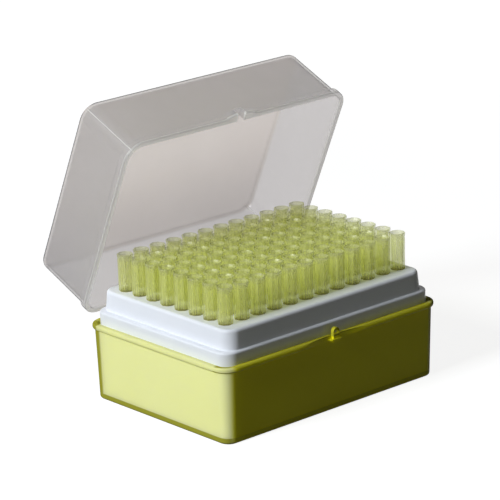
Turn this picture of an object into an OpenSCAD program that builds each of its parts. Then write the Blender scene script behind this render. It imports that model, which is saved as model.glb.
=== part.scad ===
// Hinged box of 96 pipette tips: a yellow tub, a white tip rack that stands in it,
// a frosted lid on two pin hinges, and the tips, eight to a column.
// Millimetres. +X runs along the long side, +Y points to the hinge, +Z is up.
// The origin is the centre of the tub's underside. The lid is drawn open, on its stops.

/* [Tub] */
// Length of the tub's wall at its foot
tub_length = 120; // [116:0.5:126]
// Width of the tub's wall at its foot
tub_width = 85.4; // [84:0.2:90]
// Height of the tub's rim above the table
tub_height = 34; // [30:0.5:38]
// Thickness of the tub's wall
tub_wall = 1.3; // [1:0.1:1.4]
// Thickness of the tub's floor
floor_thick = 1.6; // [1.2:0.1:2.4]
// How far each wall leans out between the foot and the rim
tub_draft = 0.9; // [0.6:0.1:1.2]
// How far the lip stands out beyond the wall
lip_out = 1.4; // [1.2:0.1:1.8]
// Height of the lip
lip_height = 2.4; // [2:0.2:3.2]
// Height of the ribs that the rack stands on, above the floor
rib_height = 1.2; // [0.8:0.1:1.6]
// Width of the thumb scoop in the front of the lip
scoop_width = 34; // [24:1:44]

/* [Catch] */
// Width of the catch lug at the front
lug_width = 3.6; // [3:0.2:5]
// How far the catch lug stands above the rim
lug_rise = 3.2; // [2.4:0.2:3.4]
// Room on each side of the lug in the lid's notch
lug_room = 0.4; // [0.3:0.1:0.8]
// Width of the thumb tab on the lid
tab_width = 18; // [14:1:24]
// How far the thumb tab stands out beyond the lid's rim
tab_out = 1.9; // [1.2:0.1:2.5]

/* [Rack] */
// Length of the raised deck that holds the tips
deck_length = 112.2; // [108:0.2:113]
// Width of the raised deck
deck_width = 81.2; // [78:0.2:82]
// Height of the deck above the table
deck_height = 48.2; // [46:0.2:50]
// Thickness of the deck
deck_thick = 1.8; // [1.4:0.1:2.4]
// Height of the step around the deck
step_height = 39.4; // [38:0.2:41]
// Length of the rack at the step
step_length = 118.7; // [118:0.1:119]
// Width of the rack at the step
step_width = 84.5; // [84:0.1:84.8]
// Thickness of the rack's walls
rack_wall = 1.2; // [1:0.1:1.6]
// Diameter of the holes that the tips hang in
hole_d = 5.8; // [5.6:0.1:6.2]

/* [Tips] */
// Distance between neighbouring tips
pitch = 9; // [9:9]
// Number of columns, along the long side
columns = 12; // [12:12]
// Number of tips in a column
rows = 8; // [8:8]
// Length of a whole tip
tip_length = 50.5; // [46:0.5:52]
// How far a tip stands above the deck
tip_stand = 16.3; // [14:0.1:17]
// Diameter of a tip's hub
hub_d = 6.7; // [6.3:0.1:6.8]
// Diameter of the collar around a tip's mouth
collar_d = 7; // [6.9:0.1:7.2]
// Height of that collar
collar_height = 1.5; // [1.2:0.1:2.5]
// Inner diameter of a tip's mouth
mouth_d = 5.1; // [4.9:0.1:5.6]

/* [Lid] */
// Height of the lid from its rim to its top
lid_height = 33.3; // [33:0.1:36]
// Thickness of the lid's walls
lid_wall = 1.1; // [0.9:0.1:1.2]
// How far the rim's flange stands out beyond the wall
flange_out = 1; // [0.8:0.1:1.2]
// Height of the flange
flange_height = 3.7; // [3:0.1:4.5]
// Angle between the closed lid and the open lid on its stops
open_angle = 66; // [60:1:75]

/* [Hinge] */
// Distance of each hinge from the middle
hinge_x = 38; // [30:1:44]
// Distance of the hinge line behind the middle of the tub
hinge_y = 47.2; // [47:0.1:48]
// Height of the hinge line
hinge_z = 33.3; // [33:0.1:33.6]
// Radius of the hinge pins, moulded on the lid
pin_r = 1.5; // [1.2:0.1:1.6]
// Clearance around the pins
pin_play = 0.08; // [0.05:0.01:0.1]
// Width of each knuckle on the lid
knuckle_width = 9; // [7:0.5:12]
// Thickness of each ear on the tub
ear_thick = 2.2; // [1.8:0.1:3]

/* [Hidden] */

eps = 0.01;
cut = 1;                // how far a cutting shape runs past what it cuts
ring = 0.01;            // thickness of the flat rings that a shell is hulled from
edge_steps = 4;         // rings around a rounded edge
round_fn = 64;

foot_corner = 5;        // corner radii, seen from above
tub_corner = 5.6;
lip_corner = 8;
deck_corner = 6;
step_corner = 6.4;
lid_corner = 7.6;

foot_edge = 1.2;        // roundings of the upper and lower edges
floor_edge = 1;
lip_edge = 0.9;
step_edge = 1;
deck_edge = 1.5;
flange_edge = 0.4;
lid_edge = 2.4;
lid_inner_edge = 1.5;

tub_size = [tub_length, tub_width];
tub_top = tub_size + 2 * tub_draft * [1, 1];
lip_size = tub_top + 2 * lip_out * [1, 1];
step_size = [step_length, step_width];
deck_size = [deck_length, deck_width];
flange_size = lip_size;                     // the closed rims are flush
lid_size = flange_size - 2 * flange_out * [1, 1];

rack_draft = 1.2;       // the rack's long walls lean in by this much on their way down
deck_draft = 0.5;
deck_root = 1;          // how far the raised deck goes down into the step
rack_foot = floor_thick + rib_height;
rib_width = 2.6;
rib_long = 60;
rib_short = 30;

rim_gap = 0.2;          // between the tub's rim and the closed lid's
lid_rim = tub_height + rim_gap;
lid_top = lid_rim + lid_height;
lid_panel = 1.2;        // thickness of the lid's panel

knuckle_r = 2.5;
ear_r = 2.8;
side_play = 0.4;        // between a knuckle and an ear
ear_in = knuckle_width / 2 + side_play;
ear_out = ear_in + ear_thick;
ear_root = [tub_top.y / 2 - 0.6, 22.5];     // foot of the ears, just inside the wall's face
knuckle_gap = 0.3;      // the gaps in the lip stop this far outside the wall's face
ear_gap = 0.6;          // room beside the ears in the lid's flange
pin_short = 0.1;        // the pins end this far inside the ears' faces
stop_gap = 0.1;         // between a heel and its pad when the lid is open
pad_face = 44.3;        // distance of the stop pads' faces from the middle
pad_z = [24.5, 30.5];
pad_slope = 1;
heel_low = 26.3;
heel_thick = 2;
heel_chamfer = [0.6, 1];
heel_spread = 1.2;      // how much thicker a heel is at its root
heel_root = 1;          // its root is this far below the hinge line
arm_z = 41.5;           // top of the arms on the closed lid
arm_out = 0.2;          // how far the arms' tops stand out from the lid's wall
arm_sink = 0.5;         // and how far the arms go into it

flush = 0.1;
scoop_depth = lip_out - flush;
scoop_r = (pow(scoop_width / 2, 2) + pow(scoop_depth, 2)) / (2 * scoop_depth);
lug_front = lip_size.y / 2 + flush;
lug_low = tub_height - 3;
eye_width = lug_width / 2 - 0.2;
eye_low = 0.3;          // bottom and top of the eye, above the rim
eye_high = 1.9;
apron_r = 3.4;          // half cone that carries the lug
apron_flare = 0.8;
apron_height = 1.2;
apron_out = 0.4;
tab_r = (pow(tab_width / 2, 2) + pow(tab_out, 2)) / (2 * tab_out);
tab_height = flange_height - 0.3;

deck_z = deck_height;
hub_r = hub_d / 2;
collar_r = collar_d / 2;
mouth_r = mouth_d / 2;
seat_r = hole_d / 2 - 0.12;     // radius of a tip just below the deck
point_z = tip_stand - tip_length;
neck_z = point_z + 10;          // the slender end widens between these two heights
cone_z = point_z + 16;
collar_z = tip_stand - collar_height;
chamfer = 0.25;

// A point on a circle that the line from p touches, on the right of that line
function touch(p, c, r) =
    let (d = c - p, far = norm(d), reach = sqrt(far * far - r * r),
         a = atan2(d.y, d.x) - asin(r / far))
    p + reach * [cos(a), sin(a)];

// A rectangle with round corners
module round_rect(size, r) {
    square([size.x - 2 * r, size.y], center = true);
    square([size.x, size.y - 2 * r], center = true);
    for (x = [-1, 1], y = [-1, 1])
        translate([x * (size.x / 2 - r), y * (size.y / 2 - r)]) circle(r, $fn = 32);
}

module slab(size, r, z0, z1) {
    translate([0, 0, z0]) linear_extrude(z1 - z0) round_rect(size, r);
}

// A block with round corners, from size0 at z0 to size1 at z1, whose lower and upper
// edges are rounded by e0 and e1
module soft_block(size0, r0, z0, size1, r1, z1, e0 = 0, e1 = 0) {
    hull() {
        for (i = [0:edge_steps]) {
            a = 90 * i / edge_steps;
            if (e0 > 0 || i == 0)
                slab(size0 - 2 * e0 * (1 - sin(a)) * [1, 1], r0 - e0 * (1 - sin(a)),
                     z0 + e0 * (1 - cos(a)), z0 + e0 * (1 - cos(a)) + ring);
            if (e1 > 0 || i == 0)
                slab(size1 - 2 * e1 * (1 - sin(a)) * [1, 1], r1 - e1 * (1 - sin(a)),
                     z1 - e1 * (1 - cos(a)) - ring, z1 - e1 * (1 - cos(a)));
        }
    }
}

// Places its children at both hinges
module at_hinges() {
    for (side = [-1, 1]) translate([side * hinge_x, 0, 0]) children();
}

// Extrudes a profile drawn in the Y-Z plane along X, from x0 to x1
module along_x(x0, x1) {
    translate([x0, 0, 0]) rotate([90, 0, 90]) linear_extrude(x1 - x0) children();
}

// ---- Tub ----

module tub_shell() {
    soft_block(tub_size, foot_corner, 0, tub_top, tub_corner, tub_height, e0 = foot_edge);
    soft_block(lip_size, lip_corner, tub_height - lip_height, lip_size, lip_corner, tub_height,
               e0 = lip_edge, e1 = lip_edge);
}

module tub_hollow() {
    wall = 2 * tub_wall * [1, 1];
    soft_block(tub_size - wall, foot_corner - tub_wall, floor_thick,
               tub_top - wall, tub_corner - tub_wall, tub_height + cut, e0 = floor_edge);
}

module floor_ribs() {
    x = tub_length / 2 - tub_wall - rib_width / 2;
    y = tub_width / 2 - tub_wall - rib_width / 2;
    for (side = [-1, 1]) {
        translate([side * x, 0, rack_foot / 2 + eps])
            cube([rib_width, rib_short, rack_foot - 2 * eps], center = true);
        translate([0, side * y, rack_foot / 2 + eps])
            cube([rib_long, rib_width, rack_foot - 2 * eps], center = true);
    }
}

module ear_profile() {
    hinge = [hinge_y, hinge_z];
    difference() {
        union() {
            translate(hinge) circle(ear_r, $fn = round_fn);
            polygon([ear_root, touch(ear_root, hinge, ear_r), hinge,
                     [hinge_y - ear_r / 2, tub_height], [ear_root.x, tub_height]]);
        }
        translate(hinge) circle(pin_r + pin_play, $fn = round_fn);
    }
}

module hinge_ears() {
    at_hinges() {
        along_x(-ear_out, -ear_in) ear_profile();
        along_x(ear_in, ear_out) ear_profile();
        along_x(-ear_in - eps, ear_in + eps)
            polygon([[ear_root.x, pad_z[0] - pad_slope], [pad_face, pad_z[0]],
                     [pad_face, pad_z[1]], [ear_root.x, pad_z[1]]]);
    }
}

module catch_lug() {
    back = tub_top.y / 2 - tub_draft / 4;
    rise = tub_height + lug_rise;
    difference() {
        translate([0, -back, 0]) rotate([90, 0, 0]) linear_extrude(lug_front - back) {
            translate([-lug_width / 2, lug_low])
                square([lug_width, rise - lug_width / 2 - lug_low]);
            translate([0, rise - lug_width / 2]) circle(lug_width / 2, $fn = round_fn);
        }
        translate([0, -back + cut, 0]) rotate([90, 0, 0]) linear_extrude(lug_front) {
            translate([-eye_width / 2, tub_height + eye_low])
                square([eye_width, eye_high - eye_low - eye_width / 2]);
            translate([0, tub_height + eye_high - eye_width / 2])
                circle(eye_width / 2, $fn = round_fn);
        }
    }
    translate([0, -back, lug_low]) intersection() {
        cylinder(r1 = apron_r - apron_flare, r2 = apron_r, h = apron_height, $fn = round_fn);
        translate([-apron_r, back - lug_front - apron_out, 0])
            cube([2 * apron_r, lug_front - back + apron_out, apron_height]);
    }
}

module base_tub() color("yellowgreen") {
    difference() {
        tub_shell();
        tub_hollow();
        // thumb scoop in the front of the lip
        translate([0, -lip_size.y / 2 + scoop_depth - scoop_r, tub_height - lip_height - cut])
            cylinder(r = scoop_r, h = lip_height + 2 * cut, $fn = 360);
        // gaps in the lip for the lid's knuckles
        at_hinges() translate([-ear_in, tub_top.y / 2 + knuckle_gap, tub_height - lip_height - cut])
            cube([2 * ear_in, lip_out + cut, lip_height + 2 * cut]);
    }
    floor_ribs();
    hinge_ears();
    catch_lug();
}

// ---- Rack ----

module rack_shell() {
    soft_block(step_size - 2 * rack_draft * [1, 1], step_corner - rack_draft, rack_foot,
               step_size, step_corner, step_height, e1 = step_edge);
    soft_block(deck_size + 2 * deck_draft * [1, 1], deck_corner, step_height - deck_root,
               deck_size, deck_corner, deck_z, e1 = deck_edge);
}

module rack_hollow() {
    wall = 2 * rack_wall * [1, 1];
    soft_block(step_size - 2 * rack_draft * [1, 1] - wall, step_corner - rack_draft - rack_wall,
               rack_foot - cut,
               step_size - wall, step_corner - rack_wall, step_height - rack_wall);
    soft_block(deck_size + 2 * deck_draft * [1, 1] - wall, deck_corner - rack_wall,
               step_height - rack_wall - cut,
               deck_size - wall, deck_corner - rack_wall, deck_z - deck_thick);
}

// Places its children at each tip of a column
module down_column(column) {
    for (row = [0:rows - 1])
        translate([(column - (columns - 1) / 2) * pitch, ((rows - 1) / 2 - row) * pitch, deck_z])
            children();
}

module tip_rack() color("white") difference() {
    rack_shell();
    rack_hollow();
    for (column = [0:columns - 1]) down_column(column)
        translate([0, 0, -deck_thick - cut])
            cylinder(d = hole_d, h = deck_thick + 2 * cut, $fn = 32);
}

// ---- Tips ----

// Half section of a tip, up the outside and down the bore. Its shoulder sits on the
// deck, at height 0.
tip_outer = [
    [0.45, point_z], [0.9, neck_z], [1.62, cone_z], [seat_r - 0.1, -1], [seat_r, 0],
    [hub_r - chamfer, 0], [hub_r, chamfer], [hub_r, collar_z - chamfer], [collar_r, collar_z],
    [collar_r, tip_stand - chamfer], [collar_r - chamfer, tip_stand]];
tip_inner = [
    [mouth_r + chamfer, tip_stand], [mouth_r, tip_stand - 2 * chamfer], [mouth_r - 0.25, 3],
    [2.05, -1.5], [1.15, cone_z], [0.5, neck_z], [0.25, point_z]];

module tips_column(column) color("darkkhaki") down_column(column)
    rotate_extrude($fn = 32) polygon(concat(tip_outer, tip_inner));

// ---- Lid, drawn closed and then swung open ----

module swing(angle) {
    translate([0, hinge_y, hinge_z]) rotate([angle, 0, 0])
        translate([0, -hinge_y, -hinge_z]) children();
}

module lid_shell() {
    soft_block(lid_size, lid_corner, lid_rim, lid_size, lid_corner, lid_top, e1 = lid_edge);
    difference() {
        soft_block(flange_size, lid_corner + flange_out, lid_rim, flange_size,
                   lid_corner + flange_out, lid_rim + flange_height,
                   e0 = flange_edge, e1 = flange_edge);
        // gaps in the flange for the tub's ears
        at_hinges() translate([-ear_out - ear_gap, lid_size.y / 2, lid_rim - cut])
            cube([2 * (ear_out + ear_gap), flange_out + cut, flange_height + 2 * cut]);
    }
}

module thumb_tab() {
    translate([0, -flange_size.y / 2 - tab_out + tab_r, lid_rim])
        intersection() {
            cylinder(r = tab_r, h = tab_height, $fn = 180);
            translate([-tab_width / 2, -tab_r - cut, 0])
                cube([tab_width, tab_out + flange_out / 2 + cut, tab_height]);
        }
}

module lid_hollow() {
    wall = 2 * lid_wall * [1, 1];
    soft_block(lid_size - wall, lid_corner - lid_wall, lid_rim - cut,
               lid_size - wall, lid_corner - lid_wall, lid_top - lid_panel, e1 = lid_inner_edge);
}

module lug_notch() {
    width = lug_width + 2 * lug_room;
    depth = lug_front + tab_out + cut;
    translate([-width / 2, -depth, lid_rim - cut])
        cube([width, depth - step_width / 2, flange_height + lug_room + cut]);
}

module knuckle_profile() {
    hinge = [hinge_y, hinge_z];
    back = lid_size.y / 2;
    top = [back + arm_out, arm_z];
    // the arm lies on the right of the line from the knuckle up to the wall
    side = touch([-top.x, top.y], [-hinge.x, hinge.y], knuckle_r);
    translate(hinge) circle(knuckle_r, $fn = round_fn);
    polygon([hinge, [back - arm_sink, lid_rim + rim_gap], [back - arm_sink, arm_z],
             top, [-side.x, side.y]]);
}

// The heel is drawn as it lies against its pad, and swung back with the closed lid
module heel_profile() {
    face = pad_face + stop_gap;
    back = face + heel_thick;
    polygon([[face, heel_low], [back - heel_chamfer.x, heel_low], [back, heel_low + heel_chamfer.y],
             [back + heel_spread, hinge_z - heel_root], [hinge_y, hinge_z],
             [face, hinge_z - heel_root]]);
}

module lid_knuckles() {
    half = knuckle_width / 2;
    at_hinges() {
        along_x(-half, half) knuckle_profile();
        swing(open_angle) along_x(-half, half) heel_profile();
        translate([-ear_out + pin_short, hinge_y, hinge_z]) rotate([0, 90, 0])
            cylinder(r = pin_r, h = 2 * (ear_out - pin_short), $fn = round_fn);
    }
}

module lid() color("silver", 0.7) swing(-open_angle) {
    difference() {
        union() {
            lid_shell();
            thumb_tab();
        }
        lid_hollow();
        lug_notch();
    }
    lid_knuckles();
}

base_tub();
tip_rack();
lid();
tips_column(0);  // tips_column_01
tips_column(1);  // tips_column_02
tips_column(2);  // tips_column_03
tips_column(3);  // tips_column_04
tips_column(4);  // tips_column_05
tips_column(5);  // tips_column_06
tips_column(6);  // tips_column_07
tips_column(7);  // tips_column_08
tips_column(8);  // tips_column_09
tips_column(9);  // tips_column_10
tips_column(10);  // tips_column_11
tips_column(11);  // tips_column_12
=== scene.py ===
import math
import bmesh
import bpy
from mathutils import Matrix, Vector


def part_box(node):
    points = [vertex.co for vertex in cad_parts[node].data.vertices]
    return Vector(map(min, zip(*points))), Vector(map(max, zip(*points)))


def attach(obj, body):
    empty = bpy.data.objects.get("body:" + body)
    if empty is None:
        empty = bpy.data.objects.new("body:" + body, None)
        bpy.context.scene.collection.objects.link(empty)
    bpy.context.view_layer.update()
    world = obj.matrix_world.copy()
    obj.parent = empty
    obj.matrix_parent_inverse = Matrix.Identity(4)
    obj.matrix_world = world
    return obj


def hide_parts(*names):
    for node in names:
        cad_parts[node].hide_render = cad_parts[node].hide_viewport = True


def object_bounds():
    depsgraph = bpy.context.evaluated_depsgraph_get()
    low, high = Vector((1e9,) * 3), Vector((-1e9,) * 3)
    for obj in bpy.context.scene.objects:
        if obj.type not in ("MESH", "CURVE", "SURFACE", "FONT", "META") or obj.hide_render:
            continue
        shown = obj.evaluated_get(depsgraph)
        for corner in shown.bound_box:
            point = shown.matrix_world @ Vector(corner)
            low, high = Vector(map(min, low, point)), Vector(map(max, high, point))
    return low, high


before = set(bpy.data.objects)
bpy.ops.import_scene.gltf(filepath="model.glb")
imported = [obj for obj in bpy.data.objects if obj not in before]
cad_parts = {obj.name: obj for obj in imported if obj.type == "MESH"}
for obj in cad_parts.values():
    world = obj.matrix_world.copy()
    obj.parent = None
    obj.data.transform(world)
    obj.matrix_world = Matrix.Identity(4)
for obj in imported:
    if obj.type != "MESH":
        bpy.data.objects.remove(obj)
cadLow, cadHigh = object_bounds()

mm = 0.001  # shapes are drawn in millimetres, and scaled to metres as each piece is finished
mergeGap = 1e-4  # millimetres; points this close become one
slack = 0.01  # millimetres; heights this close count as equal
cornerSteps = 10  # flats in a quarter round
foldAngle = 35  # degrees; steeper edges of a small part are rounded
sharpAngle = 38  # degrees; steeper edges of a finished piece are shaded sharp


def boxOf(node):
    low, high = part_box(node)
    return low / mm, high / mm


class Wire:  # a socket that can stand in a Python sum
    def __init__(self, graph, socket):
        self.graph = graph
        self.socket = socket

    def maths(self, operation, first, second=0.0):
        return self.graph.node("ShaderNodeMath", {"operation": operation}, {0: first, 1: second})

    def __add__(self, other):
        return self.maths("ADD", self, other)

    def __radd__(self, other):
        return self.maths("ADD", other, self)

    def __sub__(self, other):
        return self.maths("SUBTRACT", self, other)

    def __rsub__(self, other):
        return self.maths("SUBTRACT", other, self)

    def __mul__(self, other):
        return self.maths("MULTIPLY", self, other)

    def __rmul__(self, other):
        return self.maths("MULTIPLY", other, self)

    def __pow__(self, other):
        return self.maths("POWER", self, other)

    def __abs__(self):
        return self.maths("ABSOLUTE", self)

    def atLeast(self, other):
        return self.maths("MAXIMUM", self, other)

    def beside(self, name):  # another output of the same node
        return Wire(self.graph, self.socket.node.outputs[name])


class Graph:  # any node tree, built one node at a time
    def __init__(self, tree):
        self.tree = tree

    def node(self, kind, settings=None, inputs=None, output=0):
        made = self.tree.nodes.new(kind)
        for name, value in (settings or {}).items():
            setattr(made, name, value)
        for name, value in (inputs or {}).items():
            if isinstance(value, Wire):
                self.tree.links.new(value.socket, made.inputs[name])
            else:
                made.inputs[name].default_value = value
        return Wire(self, made.outputs[output]) if made.outputs else None


def colour(red, green, blue):
    return (red, green, blue, 1.0)


class Finish(Graph):  # one material
    def __init__(self, name):
        self.material = bpy.data.materials.new(name)
        self.material.use_nodes = True
        super().__init__(self.material.node_tree)
        self.tree.nodes.clear()
        self.place = self.node("ShaderNodeTexCoord", output="Object")

    def noise(self, size, detail=2.0, stretch=1.0):
        # size of a patch in millimetres, and how many times taller than wide it is
        place = self.node("ShaderNodeVectorMath", {"operation": "MULTIPLY"}, {
            0: self.place, 1: (1, 1, 1 / stretch)})
        return self.node("ShaderNodeTexNoise", None, {
            "Vector": place, "Scale": 1 / (size * mm), "Detail": detail})

    def along(self, axis):
        return self.node("ShaderNodeSeparateXYZ", None, {0: self.place}, output=axis)

    def ease(self, value, low, high, start=0.0, end=1.0):
        return self.node("ShaderNodeMapRange", {"interpolation_type": "SMOOTHSTEP"}, {
            "Value": value, "From Min": low, "From Max": high, "To Min": start, "To Max": end})

    def band(self, distance, limits):
        # 0 at the first limit and 1 at the second; both are in millimetres
        return self.ease(distance, limits[0] * mm, limits[1] * mm)

    def blend(self, factor, first, second):
        return self.node("ShaderNodeMix", {"data_type": "RGBA"}, {0: factor, 6: first, 7: second},
                         output=2)

    def edge(self):  # 0 where a surface is seen straight on, 1 where it is seen on edge
        return self.node("ShaderNodeLayerWeight", None, {"Blend": 0.5}, output="Facing")

    def bump(self, height, strength, distance=0.03):  # distance in millimetres
        return self.node("ShaderNodeBump", None, {
            "Height": height, "Strength": strength, "Distance": distance * mm})

    def uneven(self, roughness, grain, amount=0.2):
        return roughness + (grain - 0.5) * amount

    def solid(self, base, roughness, gloss, normal=None, scatter=0.0, reach=(1, 1, 1)):
        # scatter is the share of light that spreads inside, as far as reach in millimetres
        inputs = {"Base Color": base, "Roughness": roughness, "IOR": 1.49, "Specular IOR Level": gloss,
                  "Subsurface Weight": scatter, "Subsurface Scale": mm, "Subsurface Radius": reach}
        if normal:
            inputs["Normal"] = normal
        return self.node("ShaderNodeBsdfPrincipled", None, inputs)

    def matt(self, base, roughness=0.6):
        return self.solid(base, roughness, 0.0)

    def through(self, shade):  # light that comes in from the far side
        return self.node("ShaderNodeBsdfTranslucent", None, {"Color": shade})

    def mix(self, factor, first, second):
        return self.node("ShaderNodeMixShader", None, {0: factor, 1: first, 2: second})

    def shine(self, share, roughness, surface, shade=colour(1, 1, 1)):
        # a clear gloss over a film, as strong where the film lets light through
        mirror = self.node("ShaderNodeBsdfPrincipled", None, {
            "Base Color": shade, "Metallic": 1.0, "Roughness": roughness})
        return self.mix(share, surface, mirror)

    def film(self, opacity, shade, tint, body):
        # lets part of the light straight through; shade is how much of the film a shadow sees
        shadow = self.node("ShaderNodeLightPath", output="Is Shadow Ray")
        share = opacity * (1 - shadow * (1 - shade))
        clear = self.node("ShaderNodeBsdfTransparent", None, {"Color": tint})
        return self.mix(share, clear, body)

    def finish(self, surface):
        self.node("ShaderNodeOutputMaterial", None, {"Surface": surface})
        return self.material


def bend(size, corner, height, radius, start, end, side=1, steps=5):
    # rings along an arc of the section; side is 1 on an outer corner and -1 on an inner one
    rings = []
    for step in range(steps + 1):
        angle = math.radians(start + (end - start) * step / steps)
        out = radius * (math.cos(angle) - side)
        rings.append((size[0] + out, size[1] + out, corner + out, height + radius * math.sin(angle)))
    return rings


def outline(ring, stopsX, stopsY):
    # the points of a rectangle with round corners, anticlockwise from above
    halfX, halfY, corner, height = ring
    flatX = halfX - corner
    flatY = halfY - corner

    def arc(signX, signY, start):
        points = []
        for step in range(cornerSteps + 1):
            angle = math.radians(start + 90 * step / cornerSteps)
            points.append(Vector((signX * flatX + corner * math.cos(angle),
                                  signY * flatY + corner * math.sin(angle), height)))
        return points

    return ([Vector((halfX, y, height)) for y in stopsY] + arc(1, 1, 0)
            + [Vector((x, halfY, height)) for x in reversed(stopsX)] + arc(-1, 1, 90)
            + [Vector((-halfX, y, height)) for y in reversed(stopsY)] + arc(-1, -1, 180)
            + [Vector((x, -halfY, height)) for x in stopsX] + arc(1, -1, 270))


def spread(reach, count):
    return [reach * (2 * step / (count - 1) - 1) for step in range(count)]


def longStops(stops, gaps):
    # even stops along a long side, with a close pair at each edge of a gap
    stops = spread(*stops)
    near = 0.04
    for edge in gaps:
        stops += [edge - near, edge + near]
    return sorted(stops)


def skin(shell, lower, upper):
    # a band of faces between two loops of points
    for step in range(len(lower)):
        after = (step + 1) % len(lower)
        shell.faces.new((lower[step], lower[after], upper[after], upper[step]))


def loft(rings):
    # a closed shell through rings of equal counts, capped at both ends
    shell = bmesh.new()
    loops = [[shell.verts.new(point) for point in ring] for ring in rings]
    for lower, upper in zip(loops, loops[1:]):
        skin(shell, lower, upper)
    shell.faces.new(reversed(loops[0]))
    shell.faces.new(loops[-1])
    return closed(shell)


def closed(shell):
    bmesh.ops.remove_doubles(shell, verts=shell.verts, dist=mergeGap)
    bmesh.ops.dissolve_degenerate(shell, edges=shell.edges, dist=mergeGap)
    bmesh.ops.recalc_face_normals(shell, faces=shell.faces)
    return shell


def prism(profile, start, end):
    # a profile of (y, z) points, run along x
    return loft([[(x, y, z) for y, z in profile] for x in (start, end)])


def slab(near, far, low, high, start, end):
    # a plain block, from near to far along y and from start to end along x
    return prism([(near, low), (far, low), (far, high), (near, high)], start, end)


def standing(profile, back, front):
    # a profile of (x, z) points, run along y
    shell = prism(profile, back, front)
    for vert in shell.verts:
        vert.co = (vert.co.y, vert.co.x, vert.co.z)
    return closed(shell)


def disc(centre, radius, start=0, end=360, steps=40):
    angles = [math.radians(start + (end - start) * step / steps) for step in range(steps)]
    return [(centre[0] + radius * math.cos(angle), centre[1] + radius * math.sin(angle))
            for angle in angles]


def arch(half, low, top):
    # a profile with a round head, whose centre is at top
    return [(-half, low), (half, low)] + disc((0, top), half, 0, 180, steps=16) + [(-half, top)]


def touch(point, centre, radius):
    # where a line from the point touches a circle, on its right
    way = Vector(centre) - Vector(point)
    reach = math.sqrt(way.length_squared - radius * radius)
    angle = math.atan2(way.y, way.x) - math.asin(radius / way.length)
    return (point[0] + reach * math.cos(angle), point[1] + reach * math.sin(angle))


def softened(shell, width):
    # rounds the edges of a small part
    edges = [edge for edge in shell.edges if edge.calc_face_angle(0) > math.radians(foldAngle)]
    bmesh.ops.bevel(shell, geom=edges, offset=width, segments=2, affect="EDGES", profile=0.5)
    return closed(shell)


def scratchObject(shell, name="scratch"):
    mesh = bpy.data.meshes.new(name)
    shell.to_mesh(mesh)
    shell.free()
    made = bpy.data.objects.new(name, mesh)
    bpy.context.scene.collection.objects.link(made)
    return made


def settle(obj):
    # works an object's modifiers into a plain mesh
    bpy.context.view_layer.update()
    seen = obj.evaluated_get(bpy.context.evaluated_depsgraph_get())
    mesh = bpy.data.meshes.new_from_object(seen)
    obj.modifiers.clear()
    obj.data = mesh


def combined(shell, others, operation):
    # the shell with the others joined to it or cut from it
    whole = scratchObject(shell)
    tools = [scratchObject(other) for other in others]
    for tool in tools:
        step = whole.modifiers.new("step", "BOOLEAN")
        step.operation = operation
        step.solver = "EXACT"
        step.object = tool
    settle(whole)
    result = bmesh.new()
    result.from_mesh(whole.data)
    for leftover in [whole] + tools:
        bpy.data.objects.remove(leftover)
    return closed(result)


def piece(name, shell, material, body, nodes, turn=Matrix.Identity(4)):
    made = scratchObject(shell, name)
    made.data.transform(Matrix.Scale(mm, 4) @ turn)
    made.data.materials.append(material)
    made.data.shade_smooth()
    made.data.set_sharp_from_angle(angle=math.radians(sharpAngle))
    shading = made.modifiers.new("shading", "WEIGHTED_NORMAL")
    shading.keep_sharp = True
    shading.weight = 100
    settle(made)
    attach(made, body)
    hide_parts(*nodes)
    print("made", name, len(made.data.polygons), "faces")


view = {"azimuth": -41.62, "elevation": 17.65, "roll": -1.69, "distance": 1286.0, "lens": 216.3,
        "sensor": 36.0, "aimHeight": 35.0, "aimRight": -5.18, "aimUp": 25.17}  # degrees, millimetres


def makeCamera():
    azimuth = math.radians(view["azimuth"])
    elevation = math.radians(view["elevation"])
    roll = math.radians(view["roll"])
    back = Vector((math.sin(azimuth) * math.cos(elevation),
                   -math.cos(azimuth) * math.cos(elevation), math.sin(elevation)))
    right = Vector((math.cos(azimuth), math.sin(azimuth), 0))
    up = back.cross(right)
    aim = Vector((0, 0, view["aimHeight"])) + right * view["aimRight"] + up * view["aimUp"]
    rolledRight = right * math.cos(roll) + up * math.sin(roll)
    rolledUp = up * math.cos(roll) - right * math.sin(roll)
    camera = bpy.data.objects.new("camera", bpy.data.cameras.new("camera"))
    camera.data.lens = view["lens"]
    camera.data.sensor_width = view["sensor"]
    camera.matrix_world = Matrix((rolledRight, rolledUp, back)).transposed().to_4x4()
    camera.location = (aim + back * view["distance"]) * mm
    bpy.context.scene.collection.objects.link(camera)
    bpy.context.scene.camera = camera


makeCamera()
print("camera set")

# In the looks, a band is a pair of distances in millimetres between which a mask goes from 0 to 1,
# and facing is a pair of the same kind for how far a surface is turned away from the eye.
# side is a deeper yellow painted on the long sides as their shade; deep is painted shade at the foot and
# on the long sides' rim, and the colour of thick plastic at the corners and lip
yellowLook = {"film": colour(0.96, 0.97, 0.46), "cloud": colour(0.97, 0.98, 0.50),
              "side": colour(0.98, 0.92, 0.012), "deep": colour(0.37, 0.355, 0.04),
              "tint": colour(0.985, 0.98, 0.85), "cloudSize": 22.0, "grainSize": 0.9,
              "roughness": 0.36, "gloss": 0.12, "grainBump": 0.1,
              "scatter": 0.12, "reach": (5.0, 4.5, 0.5), "shade": 0.3,
              "opacity": 0.78, "shadedSideOpacity": 0.17, "deepOpacity": 0.2,
              "footShadeBand": (3.0, 2.6), "footShadeOnLongSides": 0.4,
              "cornerBandX": (7.2, 5.2), "cornerBandY": (7.2, 5.6), "cornerFacing": (0.385, 0.415),
              "cornerOnSide": 0.2, "shadedSideBandX": (2.3, 5.3), "shadedSideBandY": (2.4, 1.0),
              "lipBand": (2.8, 2.4), "lipShare": 0.22, "rimBand": (0.7, 0.3), "longRimShadeShare": 0.72,
              "edgePower": 2.5}


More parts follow.
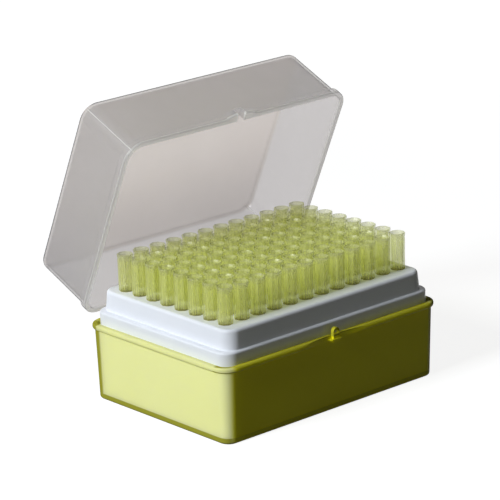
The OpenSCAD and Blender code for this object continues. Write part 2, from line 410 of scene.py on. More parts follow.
def yellowPlastic():
    # painted shade: a deeper yellow on the long sides, a darker band at the foot and a darker top on the
    # long sides' rim; deeper also where the tub is thick or seen on edge: its corners and lip
    look = Finish("yellowPlastic")
    high = boxOf("base_tub")[1]
    cloud = look.noise(yellowLook["cloudSize"], detail=3)
    grain = look.noise(yellowLook["grainSize"])
    height = look.along("Z")
    below = (high.z - tub["lugRise"]) * mm - height
    inX = (high.x - tub["lipOut"]) * mm - abs(look.along("X"))
    inY = (tub["lipWidth"] / 2 - tub["lipOut"]) * mm - abs(look.along("Y"))
    edge = look.edge()
    # painted shade: a darker band at the foot, standing in for the dark space under the rack
    foot = look.band(height, yellowLook["footShadeBand"])
    lip = look.band(below, yellowLook["lipBand"])
    rim = look.band(below, yellowLook["rimBand"])
    # painted shade: the long sides get a deeper yellow and less clearness, as if in shade
    side = look.band(inX, yellowLook["shadedSideBandX"]) * look.band(inY, yellowLook["shadedSideBandY"])
    corner = look.band(inX, yellowLook["cornerBandX"]) * look.band(inY, yellowLook["cornerBandY"])
    corner = corner * look.ease(edge, *yellowLook["cornerFacing"])
    foot = foot * (1 - (1 - yellowLook["footShadeOnLongSides"]) * side)
    corner = corner * (1 - (1 - yellowLook["cornerOnSide"]) * side)
    deep = foot.atLeast(corner).atLeast(yellowLook["lipShare"] * lip * (1 - side))
    # painted shade: the top of the rim on the long sides is darkened as if in shadow
    deep = deep.atLeast(yellowLook["longRimShadeShare"] * rim * side).atLeast(edge ** yellowLook["edgePower"])
    opacity = yellowLook["opacity"] + yellowLook["shadedSideOpacity"] * side + yellowLook["deepOpacity"] * deep
    pale = look.blend(cloud, yellowLook["film"], yellowLook["cloud"])
    body = look.solid(look.blend(side, pale, yellowLook["side"]),
                      look.uneven(yellowLook["roughness"], grain), yellowLook["gloss"],
                      look.bump(grain, yellowLook["grainBump"]),
                      yellowLook["scatter"], yellowLook["reach"])
    return look.finish(look.film(opacity, yellowLook["shade"], yellowLook["tint"],
                                 look.mix(deep, body, look.matt(yellowLook["deep"]))))


whiteLook = {"base": colour(0.80, 0.83, 0.89), "cloud": colour(0.83, 0.85, 0.90), "cloudSize": 18.0,
             "grainSize": 0.7, "grainBump": 0.15, "roughness": 0.40, "gloss": 0.2,
             "scatter": 0.12, "reach": (2.0, 2.0, 2.0)}


def whitePlastic():
    look = Finish("whitePlastic")
    cloud = look.noise(whiteLook["cloudSize"], detail=3)
    grain = look.noise(whiteLook["grainSize"])
    return look.finish(look.solid(
        look.blend(cloud, whiteLook["base"], whiteLook["cloud"]),
        look.uneven(whiteLook["roughness"], grain), whiteLook["gloss"],
        look.bump(grain, whiteLook["grainBump"]), whiteLook["scatter"], whiteLook["reach"]))


# the low colours darken the lower panel with painted shade; the pale colour drawn down each corner and on
# the thumb tab is a painted highlight
frostLook = {"wall": colour(0.315, 0.33, 0.36), "cloud": colour(0.345, 0.36, 0.39),
             "panel": colour(0.42, 0.375, 0.34), "low": colour(0.35, 0.33, 0.32),
             "rim": colour(0.60, 0.62, 0.60), "edge": colour(0.13, 0.135, 0.15),
             "paintedGlint": colour(0.95, 0.97, 0.95), "tint": colour(0.945, 0.925, 0.92),
             "glow": colour(0.90, 0.885, 0.885), "panelGlow": colour(0.85, 0.775, 0.72),
             "lowShadeGlow": colour(0.69, 0.64, 0.62), "glowShare": 0.55,
             "cloudSize": 26.0, "grainSize": 0.8, "roughness": 0.32, "gloss": 0.3,
             "shine": 0.03, "shineRoughness": 0.2, "shade": 0.3,
             "opacity": 0.39, "cloudOpacity": 0.06, "edgeOpacity": 0.6, "lowShadeOpacity": 0.17,
             "rimOpacity": 0.38, "glintOpacity": 0.32,
             "edgeFacing": (0.64, 1.0), "panelBand": (2.4, 1.4), "lowShadeBand": (100.0, 50.0),
             "rimBand": (1.3, 0.8), "glintBand": (0.5, 0.15), "glintStart": (3.2, 4.2),
             "tabOut": (0.3, 0.6), "tabGlintTop": (1.5, 1.0), "brim": 1.8, "brimBand": (0.0, 0.9),
             "brimFacing": (0.475, 0.56), "brimShare": 0.85}


def frostedPlastic():
    # clouded, with a warmer panel that is darkened low down with painted shade; the rim and the panel's
    # brim are less clear, and a painted highlight runs down each corner and along the thumb tab
    look = Finish("frostedPlastic")
    cloud = look.noise(frostLook["cloudSize"], detail=3)
    grain = look.noise(frostLook["grainSize"])
    high = boxOf("base_tub")[1]
    rimLow = high.z - tub["lugRise"] + lid["rimGap"]
    lipY = tub["lipWidth"] / 2
    wallX = high.x - lid["flangeOut"]
    wallY = lipY - lid["flangeOut"]
    # the open lid's surface, read as if it were closed
    turn = math.radians(hinge["openAngle"])
    fromHinge = look.along("Y") - hinge["y"] * mm
    aboveHinge = look.along("Z") - hinge["z"] * mm
    closedHeight = fromHinge * math.sin(turn) + aboveHinge * math.cos(turn) + hinge["z"] * mm
    closedX = abs(look.along("X"))
    closedY = abs(fromHinge * math.cos(turn) - aboveHinge * math.sin(turn) + hinge["y"] * mm)
    aboveRim = closedHeight - rimLow * mm
    belowTop = (rimLow + lid["height"]) * mm - closedHeight
    cornerX = closedX - (wallX - lid["corner"]) * mm
    cornerY = closedY - (wallY - lid["corner"]) * mm
    brimX = closedX - (wallX - frostLook["brim"]) * mm
    brimY = closedY - (wallY - frostLook["brim"]) * mm
    panel = look.band(belowTop, frostLook["panelBand"])
    # painted shade: the panel darkens towards the hinge, lower down in the open lid
    low = panel * look.band(look.along("Z"), frostLook["lowShadeBand"])
    rim = look.band(aboveRim, frostLook["rimBand"])
    # painted highlight: a pale line down the middle of each corner round, and a pale patch on the thumb
    # tab, stand in for glints of the lamp
    paintedGlint = (look.band(abs(cornerX - cornerY), frostLook["glintBand"])
            * look.band(cornerX, frostLook["glintStart"]))
    tabGlint = look.band(closedY - lipY * mm, frostLook["tabOut"]) * look.band(aboveRim, frostLook["tabGlintTop"])
    paintedGlint = paintedGlint.atLeast(tabGlint)
    brim = (panel * look.band(brimX.atLeast(brimY), frostLook["brimBand"])
            * look.ease(look.edge(), *frostLook["brimFacing"]))
    edge = look.ease(look.edge(), *frostLook["edgeFacing"]).atLeast(frostLook["brimShare"] * brim)
    opacity = (frostLook["opacity"] + (cloud - 0.5) * frostLook["cloudOpacity"]
               + frostLook["edgeOpacity"] * edge + frostLook["lowShadeOpacity"] * low
               + (frostLook["rimOpacity"] * rim).atLeast(frostLook["glintOpacity"] * paintedGlint))
    pale = look.blend(rim, look.blend(cloud, frostLook["wall"], frostLook["cloud"]), frostLook["rim"])
    pale = look.blend(paintedGlint, pale, frostLook["paintedGlint"])
    body = look.solid(look.blend(low, look.blend(panel, pale, frostLook["panel"]), frostLook["low"]),
                      look.uneven(frostLook["roughness"], grain), frostLook["gloss"])
    glow = look.mix(panel, look.through(frostLook["glow"]), look.through(frostLook["panelGlow"]))
    glow = look.mix(low, glow, look.through(frostLook["lowShadeGlow"]))
    film = look.film(opacity, frostLook["shade"], frostLook["tint"],
                     look.mix(edge, look.mix(frostLook["glowShare"], body, glow),
                              look.matt(frostLook["edge"])))
    return look.finish(look.shine(frostLook["shine"], frostLook["shineRoughness"], film))


# the foot colour, with its opacity and band, is painted shade at the base of the hub
tipLook = {"clear": colour(0.80, 0.83, 0.28), "streak": colour(0.88, 0.90, 0.44),
           "mouth": colour(0.66, 0.68, 0.36), "foot": colour(0.34, 0.31, 0.07),
           "edge": colour(0.62, 0.64, 0.26), "mouthEdge": colour(0.52, 0.54, 0.28),
           "glow": colour(0.82, 0.85, 0.26), "glowShare": 0.4, "tint": colour(0.95, 0.953, 0.905),
           "opacity": 0.30, "streakOpacity": 0.1, "edgeOpacity": 0.28, "footShadeOpacity": 0.2, "shade": 0.24,
           "streakSize": 0.8, "streakStretch": 20.0, "streakLimits": (0.3, 0.7), "edgePower": 2.0,
           "mouthBand": (3.4, 0.5), "insideBand": (3.2, 2.2), "footShadeBand": (1.3, 0.2),
           "ringLow": (1.0, 0.85), "ringHigh": (0.4, 0.55), "roughness": 0.2, "streakRoughness": 0.06,
           "gloss": 0.6, "gleam": colour(1.0, 1.0, 0.80), "shine": 0.01, "ringShine": 0.038,
           "shineRoughness": 0.19}


def tipPlastic():
    # streaked along the hub, paler at its mouth, glossy on the slope inside it, and darkened at its foot
    # with painted shade
    look = Finish("tipPlastic")
    edge = look.edge() ** tipLook["edgePower"]
    height = look.along("Z")
    below = boxOf("tips_column_01")[1].z * mm - height
    above = height - boxOf("tip_rack")[1].z * mm
    mouth = look.band(below, tipLook["mouthBand"])
    inside = look.band(below, tipLook["insideBand"])
    streaks = look.noise(tipLook["streakSize"], detail=1, stretch=tipLook["streakStretch"])
    streaks = look.ease(streaks, *tipLook["streakLimits"])
    streak = 0.5 + (streaks - 0.5) * (1 - inside)
    # painted shade: the lowest part of the hub darkens, standing in for the shade of the hole it stands
    # in
    foot = look.band(above, tipLook["footShadeBand"])
    ring = look.band(below, tipLook["ringLow"]) * look.band(below, tipLook["ringHigh"])
    opacity = (tipLook["opacity"] + (streak - 0.5) * tipLook["streakOpacity"]
               + tipLook["edgeOpacity"] * edge + tipLook["footShadeOpacity"] * foot)
    hub = look.blend(mouth, look.blend(streak, tipLook["clear"], tipLook["streak"]), tipLook["mouth"])
    body = look.solid(look.blend(foot, hub, tipLook["foot"]),
                      tipLook["roughness"] + streak * tipLook["streakRoughness"], tipLook["gloss"])
    glow = look.mix(mouth, look.through(tipLook["glow"]), look.through(tipLook["mouth"]))
    glow = look.mix(foot, glow, look.through(tipLook["foot"]))
    film = look.film(opacity, tipLook["shade"], tipLook["tint"],
                     look.mix(edge, look.mix(tipLook["glowShare"], body, glow),
                              look.matt(look.blend(mouth, tipLook["edge"], tipLook["mouthEdge"]))))
    return look.finish(look.shine(tipLook["shine"] + tipLook["ringShine"] * ring,
                                  tipLook["shineRoughness"], film, tipLook["gleam"]))


tub = {"lipWidth": 90.0, "lipCorner": 8.0, "lipOut": 1.4, "lipHeight": 2.4, "lipRound": 0.9,
       "wall": 1.3, "draft": 0.9, "corner": 5.6, "footCorner": 5.0, "footRound": 1.2,
       "floor": 1.6, "floorRound": 1.0, "rimRound": 0.35,
       "recess": 0.35, "recessInset": 6.0, "recessSlope": 1.0, "recessCorner": 5.0,
       "scoopWidth": 34.0, "scoopDepth": 1.3, "lugWidth": 3.6, "lugRise": 3.2, "lugRoot": 3.0,
       "lugFront": 45.1, "eyeWidth": 3.2, "eyeLow": 0.3, "eyeRise": 1.9, "eyeHead": 0.9,
       "eyeCut": (2.0, 5.0),  # how far its cutter reaches in front of the lug and behind its face
       "apron": ((0.0, 2.4), (0.8, 3.2), (1.2, 3.4), (1.35, 3.2)), "apronOut": 0.4,  # heights and radii
       "ribWidth": 2.6, "ribHeight": 1.2, "ribLong": 60.0, "ribShort": 30.0, "ribLow": 1.0,
       "sunk": 0.3, "soft": 0.25, "stopsX": (50, 45), "stopsY": (34, 9)}  # reach and count
hinge = {"x": 38.0, "y": 47.2, "z": 33.3, "openAngle": 66.0, "pin": 1.5, "play": 0.08,
         "pinShort": 0.1, "knuckle": 9.0, "knuckleRadius": 2.5, "gap": 0.4, "gapSkin": 0.1,
         "ear": 2.2, "earRadius": 2.8, "earEnd": 174, "earCut": 1.0, "rootY": 43.0, "rootZ": 22.5,
         "padFace": 44.3, "padLow": 24.5, "padHigh": 30.5, "padSlope": 1.0, "padOver": 0.1,
         "armTop": 41.5, "armSkin": 0.2, "armSunk": 0.5, "armStart": 170, "flangeGap": 0.6,
         "heelLow": 26.3, "heelGap": 0.1, "heelThick": 2.0, "heelChamfer": (0.6, 1.0),
         "heelFlare": 1.2, "heelBelow": 1.0, "heelSide": 0.05}
earIn = hinge["knuckle"] / 2 + hinge["gap"]
earOut = earIn + hinge["ear"]
axis = (hinge["y"], hinge["z"])


def gapEdges(half):
    return [side * hinge["x"] + edge for side in (-1, 1) for edge in (-half, half)]


def arcRadius(width, depth):
    # the radius of an arc that is this wide and this deep
    return ((width / 2) ** 2 + depth ** 2) / (2 * depth)


def fallAt(x, radius):
    # how far an arc has fallen away from its middle at x
    return radius - math.sqrt(radius ** 2 - x ** 2)


def makeTub():
    low, high = boxOf("base_tub")
    rim = high.z - tub["lugRise"]
    lip = (high.x, tub["lipWidth"] / 2)
    wallTop = (lip[0] - tub["lipOut"], lip[1] - tub["lipOut"])
    lipLow = rim - tub["lipHeight"]

    def wallAt(height, inward=0.0):
        share = height / rim
        lean = tub["draft"] * (1 - share) + inward
        corner = tub["footCorner"] + (tub["corner"] - tub["footCorner"]) * share - inward
        return (wallTop[0] - lean, wallTop[1] - lean), corner

    foot, footCorner = wallAt(0)
    under, underCorner = wallAt(lipLow)
    innerTop, innerCorner = wallAt(rim, tub["wall"])
    innerFoot, innerFootCorner = wallAt(tub["floor"], tub["wall"])
    recess = (foot[0] - tub["recessInset"], foot[1] - tub["recessInset"])
    slope = tub["recessSlope"]
    rings = [(recess[0] - slope, recess[1] - slope, tub["recessCorner"] - slope, tub["recess"]),
             (recess[0], recess[1], tub["recessCorner"], low.z)]
    rings += bend(foot, footCorner, tub["footRound"], tub["footRound"], -90, 0)
    rings += [(under[0], under[1], underCorner, lipLow)]
    rings += bend(lip, tub["lipCorner"], lipLow + tub["lipRound"], tub["lipRound"], -90, 0)
    rings += bend(lip, tub["lipCorner"], rim - tub["lipRound"], tub["lipRound"], 0, 90)
    rings += bend(innerTop, innerCorner, rim - tub["rimRound"], tub["rimRound"], 90, 180, -1)
    rings += bend(innerFoot, innerFootCorner, tub["floor"] + tub["floorRound"],
                  tub["floorRound"], 0, -90)
    stopsX = longStops(tub["stopsX"], gapEdges(earIn))
    stopsY = spread(*tub["stopsY"])
    scoopRadius = arcRadius(tub["scoopWidth"], tub["scoopDepth"])

    def shaped(point):
        # the thumb scoop in front, and the gaps for the lid's knuckles at the back
        if point.z >= lipLow - slack and abs(point.x) < tub["scoopWidth"] / 2:
            point.y = max(point.y, -lip[1] + tub["scoopDepth"] - fallAt(point.x, scoopRadius))
        if point.z >= lipLow - slack and abs(abs(point.x) - hinge["x"]) < earIn:
            point.y = min(point.y, wallTop[1] + hinge["gapSkin"])
        return point

    shell = loft([[shaped(point) for point in outline(ring, stopsX, stopsY)] for ring in rings])
    extras = tubRibs(wallTop) + hingeEars(rim) + [catchLug(rim, wallTop), catchApron(rim, wallTop)]
    return combined(combined(shell, extras, "UNION"), tubHoles(rim), "DIFFERENCE")


def tubRibs(wallTop):
    # low ribs beside the walls, which the rack stands on
    ribs = []
    half = tub["ribWidth"] / 2
    top = tub["floor"] + tub["ribHeight"]
    inward = tub["draft"] + tub["wall"] + half
    for side in (-1, 1):
        x = side * (wallTop[0] - inward)
        y = side * (wallTop[1] - inward)
        reachX = tub["ribLong"] / 2
        reachY = tub["ribShort"] / 2
        ribs.append(slab(y - half, y + half, tub["ribLow"], top, -reachX, reachX))
        ribs.append(slab(-reachY, reachY, tub["ribLow"], top, x - half, x + half))
    return ribs


def hingeEars(rim):
    # two pairs of ears that hold the pins, and a pad between each pair for the lid to stop on
    ears = []
    root = (hinge["rootY"], hinge["rootZ"])
    contact = touch(root, axis, hinge["earRadius"])
    start = math.degrees(math.atan2(contact[1] - axis[1], contact[0] - axis[0]))
    head = disc(axis, hinge["earRadius"], start, hinge["earEnd"], steps=24)
    profile = [root] + head + [(root[0], rim)]
    pad = [(root[0], hinge["padLow"] - hinge["padSlope"]), (hinge["padFace"], hinge["padLow"]),
           (hinge["padFace"], hinge["padHigh"]), (root[0], hinge["padHigh"])]
    reach = earIn + hinge["padOver"]
    for side in (-1, 1):
        x = side * hinge["x"]
        for near, far in ((-earOut, -earIn), (earIn, earOut)):
            ears.append(softened(prism(profile, x + near, x + far), tub["soft"]))
        ears.append(prism(pad, x - reach, x + reach))
    return ears


def catchLug(rim, wallTop):
    half = tub["lugWidth"] / 2
    lug = arch(half, rim - tub["lugRoot"], rim + tub["lugRise"] - half)
    return softened(standing(lug, -tub["lugFront"], -wallTop[1] + tub["sunk"]), tub["soft"])


def catchApron(rim, wallTop):
    # a small round shelf under the lug
    low = rim - tub["lugRoot"]
    shell = loft([[Vector((x, y, low + height)) for x, y in disc((0, -wallTop[1]), radius)]
                  for height, radius in tub["apron"]])
    for vert in shell.verts:
        vert.co.y = min(max(vert.co.y, -tub["lugFront"] - tub["apronOut"]), -wallTop[1] + tub["sunk"])
    return closed(shell)


def tubHoles(rim):
    # the lug's eye, and the holes for the pins
    half = tub["eyeWidth"] / 2
    before, behind = tub["eyeCut"]
    eye = arch(half, rim + tub["eyeLow"], rim + tub["eyeRise"] - half * tub["eyeHead"])
    holes = [standing(eye, -tub["lugFront"] - before, -tub["lugFront"] + behind)]
    pinHole = disc(axis, hinge["pin"] + hinge["play"])
    reach = earOut + hinge["earCut"]
    for side in (-1, 1):
        x = side * hinge["x"]
        holes.append(prism(pinHole, x - reach, x + reach))
    return holes


rack = {"deck": (112.2, 81.2), "deckCorner": 6.0, "deckDraft": 0.5, "deckThick": 1.8,
        "deckRound": 1.5, "step": 39.4, "stepCorner": 6.4, "stepRound": 1.0, "draft": 1.2,
        "wall": 1.2, "innerRound": 0.6, "innerDrop": 0.2, "edgeRound": 0.3, "hole": 5.8,
        "cutLow": 4.0, "cutHigh": 2.0, "stopsX": (48, 13), "stopsY": (33, 9)}


def makeRack():
    low, high = boxOf("tip_rack")
    step = (high.x, high.y)
    deck = (rack["deck"][0] / 2, rack["deck"][1] / 2)
    base = (deck[0] + rack["deckDraft"], deck[1] + rack["deckDraft"])
    foot = (step[0] - rack["draft"], step[1] - rack["draft"])
    footCorner = rack["stepCorner"] - rack["draft"]
    wall = rack["wall"]
    top = high.z
    ceiling = top - rack["deckThick"]
    shelf = rack["step"] - wall - rack["innerDrop"]
    soft = rack["innerRound"]
    edge = rack["edgeRound"]

    def inside(size):
        return (size[0] - wall, size[1] - wall)

    rings = bend(inside(deck), rack["deckCorner"] - wall, ceiling - soft, soft, 90, 0)
    rings += [(base[0] - wall, base[1] - wall, rack["deckCorner"] - wall, shelf)]
    rings += bend(inside(step), rack["stepCorner"] - wall, shelf - soft, soft, 90, 0)
    rings += bend(inside(foot), footCorner - wall, low.z + edge, edge, 180, 270, -1)
    rings += bend(foot, footCorner, low.z + edge, edge, -90, 0)
    rings += bend(step, rack["stepCorner"], rack["step"] - rack["stepRound"], rack["stepRound"], 0, 90)
    rings += bend(base, rack["deckCorner"], rack["step"] + edge, edge, 270, 180, -1, steps=3)
    rings += bend(deck, rack["deckCorner"], top - rack["deckRound"], rack["deckRound"], 0, 90, steps=7)
    stopsX = spread(*rack["stopsX"])
    stopsY = spread(*rack["stopsY"])
    shell = loft([outline(ring, stopsX, stopsY) for ring in rings])
    cutter = loft([[Vector((x, y, height)) for x, y in disc((0, 0), rack["hole"] / 2, steps=28)]
                   for height in (-rack["deckThick"] - rack["cutLow"], rack["cutHigh"])])
    return combined(shell, [onGrid(cutter, 0.0, top)], "DIFFERENCE")


tips = {"columns": 12, "rows": 8, "pitch": 9.0, "lean": 0.6, "seed": 7,
        "hub": 6.7, "foot": 6.5, "collar": 7.0, "collarHeight": 1.5, "mouth": 5.1, "seatRoom": 0.12,
        "point": (0.45, 0.25), "taper": ((10.0, 0.9, 0.5), (16.0, 1.62, 1.15)),  # rise and radii
        "markHeight": 6.0, "markOut": 0.16, "ribs": 8, "ribWidth": 0.62, "ribTop": 0.6,
        "ribDepth": 0.16}


def gridTree():
    # sets a copy of what comes in on every place of the rack, each leaning a little
    tree = bpy.data.node_groups.new("tipGrid", "GeometryNodeTree")
    face = tree.interface
    sockets = {}
    kinds = (("Geometry", "NodeSocketGeometry"), ("Columns", "NodeSocketInt"),
             ("Rows", "NodeSocketInt"), ("Pitch", "NodeSocketFloat"), ("Lean", "NodeSocketFloat"),
             ("Seed", "NodeSocketInt"), ("Material", "NodeSocketMaterial"))
    for name, kind in kinds:
        sockets[name] = face.new_socket(name=name, in_out="INPUT", socket_type=kind).identifier
    face.new_socket(name="Geometry", in_out="OUTPUT", socket_type="NodeSocketGeometry")
    graph = Graph(tree)
    given = graph.node("NodeGroupInput")
    value = {name: given.beside(name) for name, _ in kinds}
    grid = graph.node("GeometryNodeMeshGrid", None, {
        "Size X": (value["Columns"] - 1) * value["Pitch"], "Size Y": (value["Rows"] - 1) * value["Pitch"],
        "Vertices X": value["Columns"], "Vertices Y": value["Rows"]})
    most = graph.node("ShaderNodeCombineXYZ", None, {
        "X": value["Lean"], "Y": value["Lean"], "Z": math.pi})
    least = graph.node("ShaderNodeCombineXYZ", None, {
        "X": value["Lean"] * -1, "Y": value["Lean"] * -1, "Z": -math.pi})
    turn = graph.node("FunctionNodeRandomValue", {"data_type": "FLOAT_VECTOR"}, {
        "Min": least, "Max": most, "Seed": value["Seed"]})
    copies = graph.node("GeometryNodeInstanceOnPoints", None, {
        "Points": grid, "Instance": value["Geometry"],
        "Rotation": graph.node("FunctionNodeEulerToRotation", None, {0: turn})})
    real = graph.node("GeometryNodeRealizeInstances", None, {0: copies})
    painted = graph.node("GeometryNodeSetMaterial", None, {
        "Geometry": real, "Material": value["Material"]})
    graph.node("NodeGroupOutput", None, {0: painted})
    return tree, sockets


tipGrid, tipGridInputs = gridTree()


def onGrid(shell, lean, height, material=None):
    whole = scratchObject(shell)
    step = whole.modifiers.new("grid", "NODES")
    step.node_group = tipGrid
    values = {"Columns": tips["columns"], "Rows": tips["rows"], "Pitch": tips["pitch"],
              "Lean": math.radians(lean), "Seed": tips["seed"], "Material": material}
    for name, value in values.items():
        step[tipGridInputs[name]] = value
    settle(whole)
    result = bmesh.new()
    result.from_mesh(whole.data)
    bpy.data.objects.remove(whole)
    bmesh.ops.translate(result, vec=(0, 0, height), verts=result.verts)
    return result


def tipSection(top, tail):
    # points of a radius, a height and whether the ribs raise it, up the outside and down the bore;
    # a mark runs round the hub
    hub = tips["hub"] / 2 - tips["ribDepth"]
    foot = tips["foot"] / 2 - tips["ribDepth"]
    seat = rack["hole"] / 2 - tips["seatRoom"]
    collar = tips["collar"] / 2
    mouth = tips["mouth"] / 2
    under = top - tips["collarHeight"]
    mark = tips["markHeight"]
    waist = foot + (hub - foot) * mark / under
    marked = waist + tips["markOut"]
    pointOut, pointIn = tips["point"]
    shaft = [(pointIn, tail, 0), (pointOut, tail, 0)]
    shaft += [(out, tail + rise, 0) for rise, out, _ in tips["taper"]]
    shaft += [(seat - 0.1, -1, 0), (seat, 0, 0)]
    side = [(foot, 0, 0), (foot + 0.05, 0.3, 1), (waist, mark - 0.5, 1), (marked, mark - 0.2, 0),
            (marked, mark + 0.1, 0), (waist, mark + 0.4, 1), (hub, under - 1.0, 1),
            (hub + 0.02, under - 0.3, 0)]
    rim = [(collar - 0.14, under + 0.1, 0), (collar - 0.06, under + 0.5, 0), (collar, top - 0.3, 0),
           (collar - 0.07, top - 0.08, 0), (collar - 0.2, top, 0), (collar - 0.3, top - 0.02, 0),
           (collar - 0.44, top - 0.14, 0)]
    bore = [(mouth + 0.46, top - 0.4, 0), (mouth + 0.12, top - 1.05, 0), (mouth, top - 1.6, 0),
            (mouth - 0.12, 3, 0), (2.05, -1.5, 0)]
    bore += [(inside, tail + rise, 0) for rise, _, inside in reversed(tips["taper"])]
    return shaft + side + rim + bore


def makeTip():
    # one tip, with its shoulder at height 0; ribs run up its hub
    low, high = boxOf("tips_column_01")
    deck = boxOf("tip_rack")[1].z
    shell = bmesh.new()
    loops = []
    ribStep = 2 * math.pi / tips["ribs"]
    ribHalf = tips["ribWidth"] / tips["hub"]
    for radius, height, ribbed in tipSection(high.z - deck, low.z - deck):
        loop = []
        for rib in range(tips["ribs"]):
            for offset, raised in ((-1, 0), (-tips["ribTop"], 1), (tips["ribTop"], 1), (1, 0)):
                angle = rib * ribStep + offset * ribHalf
                out = radius + raised * ribbed * tips["ribDepth"]
                loop.append(shell.verts.new((out * math.cos(angle), out * math.sin(angle), height)))
        loops.append(loop)
    for lower, upper in zip(loops, loops[1:] + loops[:1]):
        skin(shell, lower, upper)
    return closed(shell)


lid = {"rimGap": 0.2, "height": 33.3, "wall": 1.1, "panelThick": 1.2, "flangeOut": 1.0,
       "flangeHeight": 3.7, "flangeRound": 0.4, "corner": 7.6, "topRound": 2.4, "innerRound": 1.5,
       "edgeRound": 0.3, "tabWidth": 18.0, "tabOut": 1.9, "tabFrom": 0.3, "notchRoom": 0.4,
       "notchReach": 2.0, "stopsX": (50, 45), "stopsY": (34, 9)}


def swing(angle):
    pivot = Matrix.Translation((0, hinge["y"], hinge["z"]))
    return pivot @ Matrix.Rotation(math.radians(angle), 4, "X") @ pivot.inverted()


def makeLid():
    # drawn closed
    tubHigh = boxOf("base_tub")[1]
    rim = tubHigh.z - tub["lugRise"] + lid["rimGap"]
    top = rim + lid["height"]
    ceiling = top - lid["panelThick"]
    flange = (tubHigh.x, tub["lipWidth"] / 2)
    wall = (flange[0] - lid["flangeOut"], flange[1] - lid["flangeOut"])
    inner = (wall[0] - lid["wall"], wall[1] - lid["wall"])
    innerCorner = lid["corner"] - lid["wall"]
    flangeCorner = lid["corner"] + lid["flangeOut"]
    flangeTop = rim + lid["flangeHeight"]
    flangeRound = lid["flangeRound"]
    edge = lid["edgeRound"]
    rings = bend(inner, innerCorner, ceiling - lid["innerRound"], lid["innerRound"], 90, 0)
    rings += bend(inner, innerCorner, rim + edge, edge, 180, 270, -1, steps=3)
    rings += bend(flange, flangeCorner, rim + flangeRound, flangeRound, -90, 0, steps=4)
    rings += bend(flange, flangeCorner, flangeTop - flangeRound, flangeRound, 0, 90, steps=4)
    rings += bend(wall, lid["corner"], flangeTop + edge, edge, 270, 180, -1, steps=3)
    rings += bend(wall, lid["corner"], top - lid["topRound"], lid["topRound"], 0, 90, steps=8)
    notch = tub["lugWidth"] / 2 + lid["notchRoom"]
    notchTop = flangeTop + lid["notchRoom"]
    earGap = earOut + hinge["flangeGap"]
    stopsX = longStops(lid["stopsX"], gapEdges(earGap) + [-notch, notch])
    stopsY = spread(*lid["stopsY"])
    tabRadius = arcRadius(lid["tabWidth"], lid["tabOut"])
    tabFrom = -wall[1] - lid["tabFrom"]

    def shaped(point):
        # the thumb tab and the catch's notch in front, and the gaps for the ears at the back
        onFlange = rim <= point.z <= flangeTop + slack
        if onFlange and point.y < tabFrom and abs(point.x) < lid["tabWidth"] / 2:
            share = (tabFrom - point.y) / (lid["flangeOut"] - lid["tabFrom"])
            point.y += share * (fallAt(point.x, tabRadius) - lid["tabOut"])
        if onFlange and point.y > wall[1] and abs(abs(point.x) - hinge["x"]) < earGap:
            point.y = wall[1]
        if point.y < -inner[1] + lid["notchReach"] and abs(point.x) < notch:
            point.z = max(point.z, notchTop)
        return point

    shell = loft([[shaped(point) for point in outline(ring, stopsX, stopsY)] for ring in rings])
    return combined(shell, lidKnuckles(rim, wall), "UNION")


def lidKnuckles(rim, wall):
    # on each side an arm round the hinge line, its pins, and a heel that meets the tub's pad
    # when the lid is open; the heel is drawn in that place and swung back
    parts = []
    half = hinge["knuckle"] / 2
    root = wall[1] - hinge["armSunk"]
    top = (wall[1] + hinge["armSkin"], hinge["armTop"])
    contact = touch((-top[0], top[1]), (-axis[0], axis[1]), hinge["knuckleRadius"])
    end = 360 + math.degrees(math.atan2(contact[1] - axis[1], -contact[0] - axis[0]))
    arm = [(root, rim + hinge["armSkin"])]
    arm += disc(axis, hinge["knuckleRadius"], hinge["armStart"], end, steps=30)
    arm += [(-contact[0], contact[1]), top, (root, hinge["armTop"])]
    face = hinge["padFace"] + hinge["heelGap"]
    back = face + hinge["heelThick"]
    low = hinge["heelLow"]
    high = hinge["z"] - hinge["heelBelow"]
    chamferY, chamferZ = hinge["heelChamfer"]
    heel = [(face, low), (back - chamferY, low), (back, low + chamferZ),
            (back + hinge["heelFlare"], high), axis, (face, high)]
    pinReach = earOut - hinge["pinShort"]
    heelReach = half - hinge["heelSide"]
    for side in (-1, 1):
        x = side * hinge["x"]
        parts.append(prism(arm, x - half, x + half))
        swung = prism(heel, x - heelReach, x + heelReach)
        bmesh.ops.transform(swung, matrix=swing(hinge["openAngle"]), verts=swung.verts)
        parts.append(swung)
        parts.append(prism(disc(axis, hinge["pin"]), x - pinReach, x + pinReach))
    return parts


piece("tub", makeTub(), yellowPlastic(), "box", ["base_tub"])
piece("rack", makeRack(), whitePlastic(), "box", ["tip_rack"])
tipNodes = sorted(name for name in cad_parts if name.startswith("tips_column"))
clearTips = tipPlastic()
deckTop = boxOf("tip_rack")[1].z
piece("tips", onGrid(makeTip(), tips["lean"], deckTop, clearTips), clearTips, "box",
      tipNodes)
piece("lidShell", makeLid(), frostedPlastic(), "lid", ["lid"],
      swing(-hinge["openAngle"]))

# powers in watts, sizes and distances in metres, angles in degrees
studio = {"floorSize": 8.0, "floorDrop": 0.1, "floorBase": colour(0.100, 0.098, 0.082),
          "floorShown": 0.30, "floorCloud": 1.04, "cloudSize": 30.0, "floorGlow": 0.88,
          "glowUnder": (-8.0, -1.0), "glowFar": (0.15, 0.6),  # millimetres, then metres
          "fill": 0.027, "fillColour": colour(1.0, 0.97, 0.64),
          "keyPower": 25.5, "keySize": (0.5, 0.3), "keyDistance": 1.6, "keyTurn": 2.2,
          "keyHeight": 33.0, "keyColour": (0.93, 0.965, 1.0),
          "frontPower": 0.25, "frontSize": (1.2, 1.2), "frontDistance": 2.0, "frontTurn": -75.0,
          "frontHeight": 35.0, "frontColour": (1.0, 0.97, 0.80), "aimHeight": 0.06}


def lookRay(graph):
    # 1 for what the camera sees, straight on or in a gloss
    path = graph.node("ShaderNodeLightPath", output="Is Camera Ray")
    return path.atLeast(path.beside("Is Glossy Ray")).atLeast(path.beside("Is Transmission Ray"))


def grey(level):
    return colour(level, level, level)


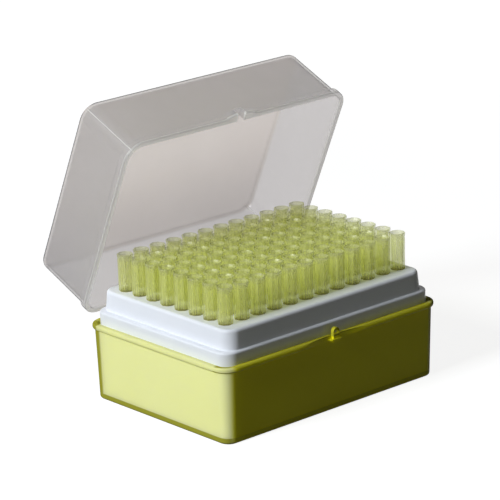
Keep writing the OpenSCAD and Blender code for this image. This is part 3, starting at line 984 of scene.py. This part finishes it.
def makeFloor():
    # the glow that whitens the floor stops under the tub, so that its foot isn't lit from below
    look = Finish("floorPaper")
    cloud = look.noise(studio["cloudSize"], detail=3)
    plain = look.node("ShaderNodeBsdfDiffuse", None, {"Color": studio["floorBase"]})
    shown = look.node("ShaderNodeBsdfDiffuse", None, {"Color": look.blend(
        cloud, grey(studio["floorShown"]), grey(studio["floorShown"] * studio["floorCloud"]))})
    footIn = tub["lipOut"] + tub["draft"]
    outX = abs(look.along("X")) - (boxOf("base_tub")[1].x - footIn) * mm
    outY = abs(look.along("Y")) - (tub["lipWidth"] / 2 - footIn) * mm
    away = outX.atLeast(outY)
    strength = (look.band(away, studio["glowUnder"])
                * look.ease(away, *studio["glowFar"], studio["floorGlow"], 1.0))
    glow = look.node("ShaderNodeEmission", None, {"Color": grey(1), "Strength": strength})
    bright = look.node("ShaderNodeAddShader", None, {0: shown, 1: glow})
    look.finish(look.mix(lookRay(look), plain, bright))
    shell = bmesh.new()
    bmesh.ops.create_grid(shell, x_segments=1, y_segments=1, size=studio["floorSize"] / 2)
    floor = scratchObject(shell, "floor")
    for vert in floor.data.vertices:
        vert.co.z = cadLow.z - studio["floorDrop"] * mm
    floor.data.materials.append(look.material)


def makeWorld():
    world = bpy.data.worlds.new("studio")
    world.use_nodes = True
    graph = Graph(world.node_tree)
    graph.tree.nodes.clear()
    fill = graph.node("ShaderNodeBackground", None, {
        "Color": studio["fillColour"], "Strength": studio["fill"]})
    white = graph.node("ShaderNodeBackground", None, {"Color": grey(1), "Strength": 1.0})
    sky = graph.node("ShaderNodeMixShader", None, {0: lookRay(graph), 1: fill, 2: white})
    graph.node("ShaderNodeOutputWorld", None, {"Surface": sky})
    bpy.context.scene.world = world


def makeLamp(name):
    # its turn is the way the light comes from, in degrees round from the left towards the back
    lamp = bpy.data.objects.new(name, bpy.data.lights.new(name, "AREA"))
    lamp.data.energy = studio[name + "Power"]
    lamp.data.shape = "RECTANGLE"
    lamp.data.size, lamp.data.size_y = studio[name + "Size"]
    lamp.data.color = studio[name + "Colour"]
    turn = math.radians(studio[name + "Turn"])
    height = math.radians(studio[name + "Height"])
    way = Vector((-math.cos(height) * math.cos(turn), math.cos(height) * math.sin(turn),
                  math.sin(height)))
    lamp.location = Vector((0, 0, studio["aimHeight"])) + way * studio[name + "Distance"]
    lamp.rotation_mode = "QUATERNION"
    lamp.rotation_quaternion = way.to_track_quat("Z", "Y")
    bpy.context.scene.collection.objects.link(lamp)


makeFloor()
makeWorld()
makeLamp("key")
makeLamp("front")
bpy.context.scene.view_settings.view_transform = "Standard"
bpy.context.scene.cycles.transparent_max_bounces = 48  # rows of clear tips stand behind each other
print("studio set")
